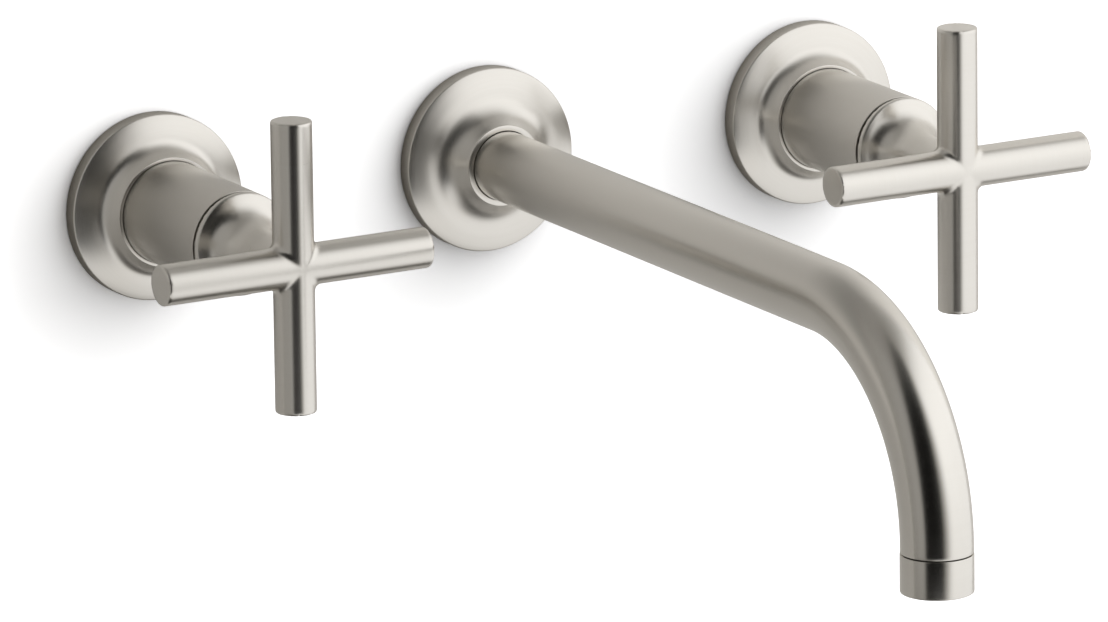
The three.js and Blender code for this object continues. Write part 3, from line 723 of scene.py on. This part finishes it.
HANDLE = handle_mesh()
for tag, x in SIDES.items():
    co, quads, uv = HANDLE
    s = Shells()
    s.co = (co + np.array([x, 0, 0])).tolist()
    s.faces = [tuple(int(i) for i in f) for f in quads]
    s.uv = uv
    o = s.piece(f"{tag.title()}_Handle", sharp=50.0)
    hole = Shells().turn([(0, -9.0), (2.0, -9.0), (2.0, -2.6), (0, -2.6)], "z", (x, -67.0), 40).piece("cutter")
    cut_by(o, hole)
    bore = Shells().turn([(0, -70.5), (3.3, -70.5), (3.3, -42.0), (0, -42.0)], "y", (x, 0), 40).piece("cutter")
    cut_by(o, bore)
    place(o, f"{tag}_handle_body", "brushed_nickel", M_HANDLE, f"{tag}_handle")


# ------------------------------------------------------------- in-wall pieces
def tee_distance(p):
    d = join(sd_rod(p, 0, 10.5, -25, 25, 0.8, (20.0, 0.0)), sd_rod(p, 1, 12.0, 4.2, 26, 0.8), 2.2)
    for s in (-1, 1):       # thicker collars at the tube ends
        d = join(d, sd_rod(p, 0, 10.5, s * 22 - 3, s * 22 + 3, 0.6, (20.0, 0.0)), 0.6)
    return d


co, quads = nets(tee_distance, (-27, 2.5, -14), (27, 33, 14), 0.8)
s = Shells()
s.co, s.faces = co.tolist(), [tuple(int(i) for i in f) for f in quads]
s.uv = [[(0.0, 0.0)] * 4 for _ in quads]
o = s.piece("Spout_Tee", 45)
cut_by(o, Shells().turn([(0, -26), (6.65, -26), (6.65, 26), (0, 26)], "x", (20.0, 0.0), 48).piece("cutter"))
cut_by(o, Shells().turn([(0, 3), (7.9, 3), (7.9, 14.4), (0, 14.4)], "y", (0, 0), 48).piece("cutter"))
place(o, "fixed_body", "brass", M_CAST, "spout_tee")

for tag, sign in (("hot", -1), ("cold", 1)):
    lo = -81.6 if sign < 0 else 12.4
    ring = rounded([(5.4, lo), (6.35, lo), (6.35, lo + 69.2), (5.4, lo + 69.2)], 0.2, 3)
    o = Shells().turn(ring, "x", (20.0, 0.0), 72).piece(f"Crossover_Tube_{tag.title()}")
    place(o, "fixed_body", "copper", M_COPPER, f"crossover_tube_{tag}")
    for end, x0 in (("tee", 25.3), ("valve", 62.6)):
        a = -(x0 + 8.7) if sign < 0 else x0
        b = a + 8.7
        f, c = 10.6 * math.cos(math.pi / 6), 10.6
        prof = [(6.65, a + 0.4), (7.1, a), (f - 0.15, a), (c, a + 1.15), (c, b - 1.15), (f - 0.15, b), (7.1, b), (6.65, b - 0.4)]
        o = Shells().turn(prof, "x", (20.0, 0.0), 120, hexagon(f, phase=math.pi / 6)).piece(f"Tube_Nut_{tag.title()}_{end.title()}", 20)
        place(o, "fixed_body", "brass", machined(f"brass_nut_{tag}_{end}", (0.45, 0.30, 0.11), (0.72, 0.54, 0.25), "x", (20.0, 0.0)), f"tube_nut_{tag}_{end}")

NUT = rounded([(5.4, -27.0), (7.6, -27.0), (7.6, -24.2), (6.15, -24.2), (6.15, -22.2), (7.6, -22.2), (7.6, -18.6), (6.9, -18.6), (6.9, -15.4),
               (7.6, -15.4), (7.6, -11.4), (6.15, -11.4), (6.15, -9.4), (7.6, -9.4), (7.6, 14.0), (5.4, 14.0)], 0.12, 2)
o = Shells().turn(NUT, "y", (0, 0), 72)
o.turn([(6.5, -0.9), (8.8, -0.9), (10.4, 0.1), (10.4, 2.8), (9.0, 3.6), (6.5, 3.6)], "y", (0, 0), 96, hexagon(10.4 * math.cos(math.pi / 6), phase=0.0))
place(o.piece("Spout_Nipple", 20), "fixed_body", "brass", machined("brass_nipple", (0.45, 0.30, 0.11), (0.72, 0.54, 0.25), "y", (0, 0)), "spout_nipple")


def valve_distance(s):
    """One valve body about its own axis; s says which side the crossover tube leaves from."""
    def f(p):
        d = sd_rod(p, 1, 17.0, 16, 52, 1.0)
        d = join(d, sd_rod(p, 1, 12.2, -19.7, 20, 0.5), 1.8)
        lo, hi = (12, 30) if s < 0 else (-30, -12)
        d = join(d, sd_rod(p, 0, 9.8, lo, hi, 0.6, (20.0, 0.0)), 1.6)
        d = join(d, sd_rod(p, 2, 12.0, -36, -8, 0.7, (0.0, 38.0)), 2.2)
        return d
    return f


for tag, x in SIDES.items():
    sgn = -1 if x < 0 else 1
    co, quads = nets(valve_distance(sgn), (-31.5, -21.5, -38), (31.5, 54, 19), 0.95)
    co = co + np.array([x, 0, 0])
    s = Shells()
    s.co, s.faces = co.tolist(), [tuple(int(i) for i in f) for f in quads]
    s.uv = [[(0.0, 0.0)] * 4 for _ in quads]
    o = s.piece(f"{tag.title()}_Valve_Body", 45)
    cut_by(o, Shells().turn([(0, -21), (9.6, -21), (9.6, 30.3), (0, 30.3)], "y", (x, 0), 64).piece("cutter"))
    a, b = ((x + 8, x + 31) if sgn < 0 else (x - 31, x - 8))
    cut_by(o, Shells().turn([(0, a), (6.65, a), (6.65, b), (0, b)], "x", (20.0, 0.0), 48).piece("cutter"))
    cut_by(o, Shells().turn([(0, -37), (8.5, -37), (8.5, -22), (0, -22)], "z", (x, 38.0), 48).piece("cutter"))
    place(o, "fixed_body", "brass", M_CAST, f"{tag}_valve_body")

    # supply adapter: hexagon and a tapered pipe thread
    f = 13.9 * math.cos(math.pi / 6)
    zs = np.arange(-60.0, -44.9, 0.16)
    body = [(6.2, -60.0), (9.6, -60.0), (10.1, -59.6)] + [(10.15 + 0.3 * (z + 60) / 15, float(z)) for z in zs[3:]]
    body += [(10.45, -44.4), (8.2, -44.4), (8.2, -24.5), (6.2, -24.5)]
    o = Shells().turn(body, "z", (x, 38.0), 72, lambda th, r, t, g=thread(1.81, 0.62, -59.9, -46.2): np.where(r > 9.9, g(th, r, t), r))
    o.turn([(8.0, -44.5), (f - 0.1, -44.5), (13.9, -43.1), (13.9, -37.7), (f - 0.1, -36.3), (8.0, -36.3)], "z", (x, 38.0), 120, hexagon(f, phase=0.0))
    place(o.piece(f"{tag.title()}_Supply_Adapter", 24), "fixed_body", "brass",
          machined(f"brass_adapter_{tag}", (0.45, 0.30, 0.11), (0.72, 0.54, 0.25), "z", (x, 38.0)), f"{tag}_supply_adapter")

    for pos, z in (("upper", 9.0), ("lower", -9.0)):
        head = [(0, 46.5), (2.0, 46.5), (2.35, 47.0)] + [(2.35, 54.0), (2.35, 54.6), (4.4, 54.6), (4.6, 54.8), (4.6, 55.9), (4.35, 56.5), (3.7, 57.05), (2.6, 57.32), (0, 57.4)]
        o = Shells().turn(head, "y", (x, z), 48).piece(f"{tag.title()}_Bracket_Screw_{pos.title()}", 40)
        slot = bpy.data.objects.new("cutter", bpy.data.meshes.new("cutter"))
        bpy.context.scene.collection.objects.link(slot)
        bm = bmesh.new()
        bmesh.ops.create_cube(bm, size=1.0)
        bmesh.ops.scale(bm, vec=(0.0064, 0.0022, 0.0011), verts=bm.verts)
        bmesh.ops.translate(bm, vec=(x * 0.001, 0.0575, z * 0.001), verts=bm.verts)
        bm.to_mesh(slot.data)
        bm.free()
        place(cut_by(o, slot), "fixed_body", "steel", M_ZINC, f"{tag}_bracket_screw_{pos}")


# mounting bracket: bent strip with real holes and broken edges
def bracket():
    y0, y1, e0, e1, x0, x1 = 52.3, 54.3, 60.0, 62.0, 121.0, 140.0
    out = [(-x1, e0), (-x0 - 0.8, e0), (-x0 + 4.2, y0), (x0 - 4.2, y0), (x0 + 0.8, e0), (x1, e0),
           (x1, e1), (x0, e1), (x0 - 5, y1), (-x0 + 5, y1), (-x0, e1), (-x1, e1)]
    out = rounded(out, steps=4, only={1: 1.2, 2: 2.6, 3: 2.6, 4: 1.2, 7: 2.6, 8: 1.2, 9: 1.2, 10: 2.6})
    n = len(out)
    co = [(a, b, -16.0) for a, b in out] + [(a, b, 16.0) for a, b in out]
    faces = [tuple(range(n)), tuple(range(2 * n - 1, n - 1, -1))]
    faces += [(i, (i + 1) % n, n + (i + 1) % n, n + i) for i in range(n)]
    uv = [[(0.0, 0.0)] * len(f) for f in faces]
    o = Shells().add(co, faces, uv).piece("Mounting_Bracket", 30)
    for s in (-1, 1):
        for z in (-9, 9):
            cut_by(o, Shells().turn([(0, 50), (2.8, 50), (2.8, 57), (0, 57)], "y", (s * 101.6, z), 32).piece("cutter"))
            cut_by(o, Shells().turn([(0, 58), (2.75, 58), (2.75, 64), (0, 64)], "y", (s * 131, z), 32).piece("cutter"))
    me = o.data
    me.polygons.foreach_set("use_smooth", np.ones(len(me.polygons), bool))
    me.set_sharp_from_angle(angle=math.radians(30))
    return bevelled(o, 0.22, 50, 2)


place(bracket(), "fixed_body", "steel", M_ZINC, "mounting_bracket")

# -------------------------------------------- carried-over pieces: shading and finish
slot_of = {}
for m in frame["record"].get("materials", []):
    for n in m.get("nodes", m.get("applies_to", [])) or []:
        slot_of[n] = m["slot"]
for name, o in NODES.items():
    if o.hide_render:
        continue
    smooth_nodes(o)
    low = name.lower()
    if "oring" in low or "washer" in low or "seal" in low:
        mat = M_RUBBER
    elif "disc" in low:
        mat = M_CERAMIC
    elif "set_screw" in low:
        mat = M_ZINC
    elif "cartridge" in low or "stem" in low:
        mat = M_CAST
    else:
        mat = FINISH.get(slot_of.get(name, ""), M_CAST)
    o.data.materials.clear()
    o.data.materials.append(mat)
    if mat in (M_CAST, M_ZINC):
        bevelled(o, 0.12, 40, 1)


# ------------------------------------------------------------- wall and floor
def one_sided(name, colour, seen, painted_glow=0.0, reach=0.05, power=4.0):
    """Matt surface seen from its front only, so that it never hides what lies behind it from the back.
    Given a glow level, an emission seen only by the camera paints it towards white, a painted glow, except close to
    what stands on it on the side away from the light, where a painted contact shadow is left; to all other rays it
    carries a painted shadow near the same things and painted shade below and at its upper left."""
    m = bpy.data.materials.new(name)
    m.use_nodes = True
    t = m.node_tree
    for n in list(t.nodes):
        t.nodes.remove(n)
    out = t.nodes.new("ShaderNodeOutputMaterial")
    geo = t.nodes.new("ShaderNodeNewGeometry")
    path = t.nodes.new("ShaderNodeLightPath")
    matt = t.nodes.new("ShaderNodeBsdfDiffuse")
    matt.inputs[0].default_value = (*colour, 1)
    lit = t.nodes.new("ShaderNodeBsdfDiffuse")
    lit.inputs[0].default_value = (*seen, 1)
    clear = t.nodes.new("ShaderNodeBsdfTransparent")
    a = t.nodes.new("ShaderNodeMixShader")
    b = t.nodes.new("ShaderNodeMixShader")
    lit_out = lit.outputs[0]
    if painted_glow:
        sep = t.nodes.new("ShaderNodeSeparateXYZ")
        t.links.new(node(t, "ShaderNodeTexCoord").outputs["Object"], sep.inputs[0])
        # painted contact shadow: ambient occlusion, leaned towards the light side and raised to a power, darkens the
        # wall close to what stands on it
        ao = t.nodes.new("ShaderNodeAmbientOcclusion")
        ao.samples = 6
        ao.inputs["Distance"].default_value = reach
        side = Vector(LIGHT_SIDE).normalized()
        lean = t.nodes.new("ShaderNodeCombineXYZ")
        for i in range(3):
            lean.inputs[i].default_value = side[i]
        t.links.new(lean.outputs[0], ao.inputs["Normal"])
        near = maths(t, "POWER", ao.outputs["AO"], power)
        # painted glow: this emission, seen only by the camera, lifts the wall to white though it is no lamp, and is
        # weaker where the painted contact shadow falls
        em = t.nodes.new("ShaderNodeEmission")
        t.links.new(maths(t, "MULTIPLY", near, painted_glow), em.inputs[1])
        both = t.nodes.new("ShaderNodeAddShader")
        t.links.new(lit.outputs[0], both.inputs[0])
        t.links.new(em.outputs[0], both.inputs[1])
        lit_out = both.outputs[0]
        # painted light and shade: to the camera the wall's colour is raised towards its left end, painted light that
        # makes up for the lesser light it gets there; to all other rays it is painted darker below and at its upper
        # left, a painted shade
        t.links.new(tint(t, spread(t, sep.outputs[0], 0, 1, -0.17, 0.02), tuple(1.5 * c for c in seen), seen), lit.inputs[0])
        up = tint(t, spread(t, sep.outputs[2], 0, 1, -0.03, 0.05), tuple(0.76 * c for c in colour), colour)
        painted_upper_left_shade = maths(t, "MULTIPLY", spread(t, sep.outputs[2], 0, 1, 0.08, 0.26), spread(t, sep.outputs[0], 1, 0, 0.02, 0.26))
        fall = t.nodes.new("ShaderNodeMix")
        fall.data_type, fall.blend_type = "RGBA", "MULTIPLY"
        fall.inputs[0].default_value = 1.0
        t.links.new(up, fall.inputs[6])
        t.links.new(tint(t, painted_upper_left_shade, (1, 1, 1), (0.55, 0.55, 0.55)), fall.inputs[7])
        up = fall.outputs[2]
        # painted shadow for all rays but the camera's: the wall's colour drops to 0.42 of itself close to what stands
        # on it
        t.links.new(tint(t, spread(t, near, 0, 1, 0.1, 0.9), tuple(0.42 * c for c in colour), (1, 1, 1)), matt.inputs[0])
        part = t.nodes.new("ShaderNodeMix")
        part.data_type, part.blend_type = "RGBA", "MULTIPLY"
        part.inputs[0].default_value = 1.0
        t.links.new(up, part.inputs[6])
        t.links.new(matt.inputs[0].links[0].from_socket, part.inputs[7])
        t.links.new(part.outputs[2], matt.inputs[0])
    t.links.new(path.outputs["Is Camera Ray"], a.inputs[0])
    t.links.new(matt.outputs[0], a.inputs[1])
    t.links.new(lit_out, a.inputs[2])
    t.links.new(geo.outputs["Backfacing"], b.inputs[0])
    t.links.new(a.outputs[0], b.inputs[1])
    t.links.new(clear.outputs[0], b.inputs[2])
    t.links.new(b.outputs[0], out.inputs[0])
    return m


def panel(name, corners, mat):
    me = bpy.data.meshes.new(name)
    me.from_pydata(corners, [], [(0, 1, 2, 3)])
    o = bpy.data.objects.new(name, me)
    bpy.context.scene.collection.objects.link(o)
    o.data.materials.append(mat)
    return o


# The wall's glow level below is a painted glow that whitens it for the camera; the light side leans its painted contact
# shadow so that it falls away from that side.
WALL_SEEN = (0.85, 0.85, 0.86)
WALL_PAINTED_GLOW = 0.76
LIGHT_SIDE = (0.42, -0.80, 0.50)
panel("Wall", [(-0.75, 0.0003, -0.45), (0.75, 0.0003, -0.45), (0.75, 0.0003, 0.6), (-0.75, 0.0003, 0.6)],
      one_sided("wall_paint_with_painted_shadow", (0.98, 0.96, 0.925), WALL_SEEN, WALL_PAINTED_GLOW, 0.047, 3.1))
floor = panel("Floor", [(-8, -8, -0.45), (8, -8, -0.45), (8, 8, -0.45), (-8, 8, -0.45)],
              one_sided("pale_floor", (0.55, 0.55, 0.54), (1.9, 1.9, 1.9)))
floor.visible_glossy = floor.visible_diffuse = floor.visible_shadow = False


# ---------------------------------------------------------------- studio light
# A tall diffuser stands to the right of the object, running from in front of it back to the wall, and
# a black card stands to its front left; everything else is soft light by direction: az 0 faces the
# room (-Y), +90 is +X. LOW adds the light that comes up off a pale table in front.
AZ = [(-180, 0.60), (-150, 0.50), (-120, 0.34), (-100, 0.32), (-82, 0.38), (-66, 0.38), (-51, 0.40), (-36, 0.7), (-10, 0.8),
      (15, 0.62), (40, 0.62), (60, 0.68), (90, 0.74), (115, 0.76), (150, 0.68), (180, 0.60)]
EL = [(-90, 0.03), (-76, 0.04), (-67, 0.08), (-60, 0.18), (-51, 0.46), (-40, 0.70), (-20, 0.90), (-5, 1.0), (10, 1.0), (30, 1.0),
      (45, 0.92), (60, 0.70), (90, 0.5)]
LOW_AZ = [(-180, 0.0), (-62, 0.0), (-48, 0.25), (-34, 0.9), (-20, 1.0), (10, 1.0), (22, 0.5), (32, 0.12), (45, 0.0), (180, 0.0)]
LOW_EL = [(-90, 0.0), (-66, 0.0), (-59, 0.3), (-53, 0.85), (-46, 1.0), (-32, 1.0), (-24, 0.55), (-16, 0.1), (-10, 0.0), (90, 0.0)]
LOW = 0.5
PANEL_A, PANEL_B = (0.015, -0.56), (0.72, -0.01)
PANEL_LEVEL = 1.27
PANEL_S = [(-0.36, 0.0), (-0.28, 0.055), (-0.15, 0.07), (-0.1, 0.11), (-0.06, 0.21), (0.0, 0.48), (0.08, 0.88), (0.14, 1.0), (0.5, 1.0), (0.9, 1.0)]
PANEL_Z = [(-0.95, 0.28), (-0.66, 0.64), (-0.45, 0.82), (-0.3, 0.80), (-0.12, 0.86), (0.0, 0.93), (0.15, 1.0), (0.35, 0.95), (0.6, 0.68), (0.9, 0.38), (1.25, 0.25)]
CARD_A, CARD_B = (-0.42, -0.40), (0.11, -0.735)
CARD_S = [(0.0, 0.0), (0.015, 0.25), (0.04, 0.85), (0.06, 1.0), (0.5, 1.0), (0.627, 1.0)]
CARD_Z = [(-0.42, 0.0), (-0.36, 0.2), (-0.29, 0.85), (-0.24, 1.0), (0.35, 1.0), (0.7, 0.86), (1.6, 0.8), (3.0, 0.0)]


def curve_node(t, fac, pts, lo, hi, top):
    n = t.nodes.new("ShaderNodeFloatCurve")
    c = n.mapping.curves[0]
    n.mapping.use_clip = False
    xy = [((x - lo) / (hi - lo), y / top) for x, y in pts]
    c.points[0].location, c.points[1].location = xy[0], xy[-1]
    for p in xy[1:-1]:
        c.points.new(*p)
    for p in c.points:
        p.handle_type = "AUTO_CLAMPED"
    n.mapping.update()
    t.links.new(fac, n.inputs["Value"])
    return maths(t, "MULTIPLY", n.outputs[0], top)


def warm(t, level, out):
    """Light that is a little warmer where it is dim, on a Background or Emission node."""
    r = t.nodes.new("ShaderNodeValToRGB")
    e = r.color_ramp.elements
    e[0].position, e[0].color = 0.02, (1.0, 0.90, 0.74, 1)
    e[1].position, e[1].color = 1.0, (1.0, 1.0, 1.0, 1)
    for p, c in ((0.15, (1.0, 0.955, 0.87, 1)), (0.4, (1.0, 0.98, 0.94, 1))):
        k = e.new(p)
        k.color = c
    t.links.new(level, r.inputs[0])
    t.links.new(r.outputs[0], out.inputs[0])
    t.links.new(level, out.inputs[1])


def studio():
    w = bpy.data.worlds.new("studio")
    bpy.context.scene.world = w
    w.use_nodes = True
    t = w.node_tree
    for n in list(t.nodes):
        t.nodes.remove(n)
    out = t.nodes.new("ShaderNodeOutputWorld")
    tc = t.nodes.new("ShaderNodeTexCoord")
    sep = t.nodes.new("ShaderNodeSeparateXYZ")
    t.links.new(tc.outputs["Generated"], sep.inputs[0])
    x, y, z = sep.outputs
    az = maths(t, "ARCTAN2", x, maths(t, "MULTIPLY", y, -1.0))
    az = maths(t, "ADD", maths(t, "DIVIDE", az, 2 * math.pi), 0.5)
    el = maths(t, "ADD", maths(t, "DIVIDE", maths(t, "ARCSINE", z), math.pi), 0.5)
    by_az = curve_node(t, az, AZ, -180, 180, 2.0)
    by_el = curve_node(t, el, EL, -90, 90, 2.0)
    # towards the zenith and nadir the direction round the object stops mattering
    flat = maths(t, "POWER", maths(t, "ABSOLUTE", z), 4.0)
    around = maths(t, "ADD", maths(t, "MULTIPLY", by_az, maths(t, "SUBTRACT", 1.0, flat)), maths(t, "MULTIPLY", flat, 0.55))
    level = maths(t, "MULTIPLY", around, by_el)
    low = maths(t, "MULTIPLY", curve_node(t, az, LOW_AZ, -180, 180, 2.0), curve_node(t, el, LOW_EL, -90, 90, 2.0))
    level = maths(t, "ADD", level, maths(t, "MULTIPLY", low, LOW))
    light = t.nodes.new("ShaderNodeBackground")
    warm(t, level, light)
    seen = t.nodes.new("ShaderNodeBackground")
    seen.inputs[0].default_value = (0.97, 0.97, 0.97, 1)
    path = t.nodes.new("ShaderNodeLightPath")
    mix = t.nodes.new("ShaderNodeMixShader")
    t.links.new(path.outputs["Is Camera Ray"], mix.inputs[0])
    t.links.new(light.outputs[0], mix.inputs[1])
    t.links.new(seen.outputs[0], mix.inputs[2])
    t.links.new(mix.outputs[0], out.inputs[0])


def standing(name, a, b, across, upward, level):
    """Upright studio panel from a to b, seen by the object but not by the camera. The two curves, by metres along it
    and by height, say how much of it is there; it gives out `level` of light, or none and is then a black card."""
    (ax, ay), (bx, by) = a, b
    run = math.hypot(bx - ax, by - ay)
    dx, dy = (bx - ax) / run, (by - ay) / run
    m = bpy.data.materials.new(name.lower())
    m.use_nodes = True
    t = m.node_tree
    for n in list(t.nodes):
        t.nodes.remove(n)
    out = t.nodes.new("ShaderNodeOutputMaterial")
    tc = t.nodes.new("ShaderNodeTexCoord")
    off = vmaths(t, "SUBTRACT", tc.outputs["Object"], (ax, ay, 0.0))
    lo, hi = across[0][0], across[-1][0]
    lz, hz = upward[0][0], upward[-1][0]
    sn = maths(t, "DIVIDE", maths(t, "SUBTRACT", vmaths(t, "DOT_PRODUCT", off, (dx, dy, 0.0)), lo), hi - lo)
    zn = maths(t, "DIVIDE", maths(t, "SUBTRACT", vmaths(t, "DOT_PRODUCT", off, (0.0, 0.0, 1.0)), lz), hz - lz)
    by_s, by_z = curve_node(t, sn, across, lo, hi, 2.0), curve_node(t, zn, upward, lz, hz, 2.0)
    cover = by_s if level else maths(t, "MULTIPLY", by_s, by_z)
    clear = t.nodes.new("ShaderNodeBsdfTransparent")
    black = t.nodes.new("ShaderNodeBsdfDiffuse")
    black.inputs[0].default_value = (0, 0, 0, 1)
    body = t.nodes.new("ShaderNodeMixShader")
    t.links.new(cover, body.inputs[0])
    t.links.new(clear.outputs[0], body.inputs[1])
    t.links.new(black.outputs[0], body.inputs[2])
    front = body.outputs[0]
    if level:
        em = t.nodes.new("ShaderNodeEmission")
        warm(t, maths(t, "MULTIPLY", maths(t, "MULTIPLY", by_s, by_z), level), em)
        add = t.nodes.new("ShaderNodeAddShader")
        t.links.new(em.outputs[0], add.inputs[0])
        t.links.new(front, add.inputs[1])
        front = add.outputs[0]
    geo = t.nodes.new("ShaderNodeNewGeometry")
    mix = t.nodes.new("ShaderNodeMixShader")
    t.links.new(geo.outputs["Backfacing"], mix.inputs[0])
    t.links.new(front, mix.inputs[1])
    t.links.new(clear.outputs[0], mix.inputs[2])
    t.links.new(mix.outputs[0], out.inputs[0])
    p0, p1 = (ax + dx * lo, ay + dy * lo), (ax + dx * hi, ay + dy * hi)
    o = panel(name, [(*p1, lz), (*p1, hz), (*p0, hz), (*p0, lz)], m)
    n = o.data.polygons[0].normal
    if n.x * (0 - ax - bx) + n.y * (0 - ay - by) < 0:        # its front looks at the object
        o.data.flip_normals()
    o.visible_camera = False
    return o


standing("Diffuser", PANEL_A, PANEL_B, PANEL_S, PANEL_Z, PANEL_LEVEL)
standing("Card", CARD_A, CARD_B, CARD_S, CARD_Z, 0.0)
studio()

# -------------------------------------------------------------------- camera
AZIMUTH, ELEVATION, ROLL = map(math.radians, (-29.229, 14.272, -0.708))
back = Vector((math.sin(AZIMUTH) * math.cos(ELEVATION), -math.cos(AZIMUTH) * math.cos(ELEVATION), math.sin(ELEVATION)))
right = Vector((math.cos(AZIMUTH), math.sin(AZIMUTH), 0.0))
up = back.cross(right)
right2 = right * math.cos(ROLL) + up * math.sin(ROLL)
up2 = up * math.cos(ROLL) - right * math.sin(ROLL)
cam = bpy.data.objects.new("Camera", bpy.data.cameras.new("Camera"))
bpy.context.scene.collection.objects.link(cam)
cam.data.sensor_width = 36.0
cam.data.lens = 11661.55 / 1108 * 36
cam.data.clip_start, cam.data.clip_end = 0.05, 100
cam.matrix_world = Matrix(((right2.x, up2.x, back.x, -1.487451), (right2.y, up2.y, back.y, -2.696966), (right2.z, up2.z, back.z, 0.739945), (0, 0, 0, 1)))
bpy.context.scene.camera = cam
bpy.context.scene.view_settings.view_transform = "Standard"
bpy.context.scene.view_settings.look = "None"

# ---------------------------------------------------------------------- finish
bpy.context.view_layer.update()
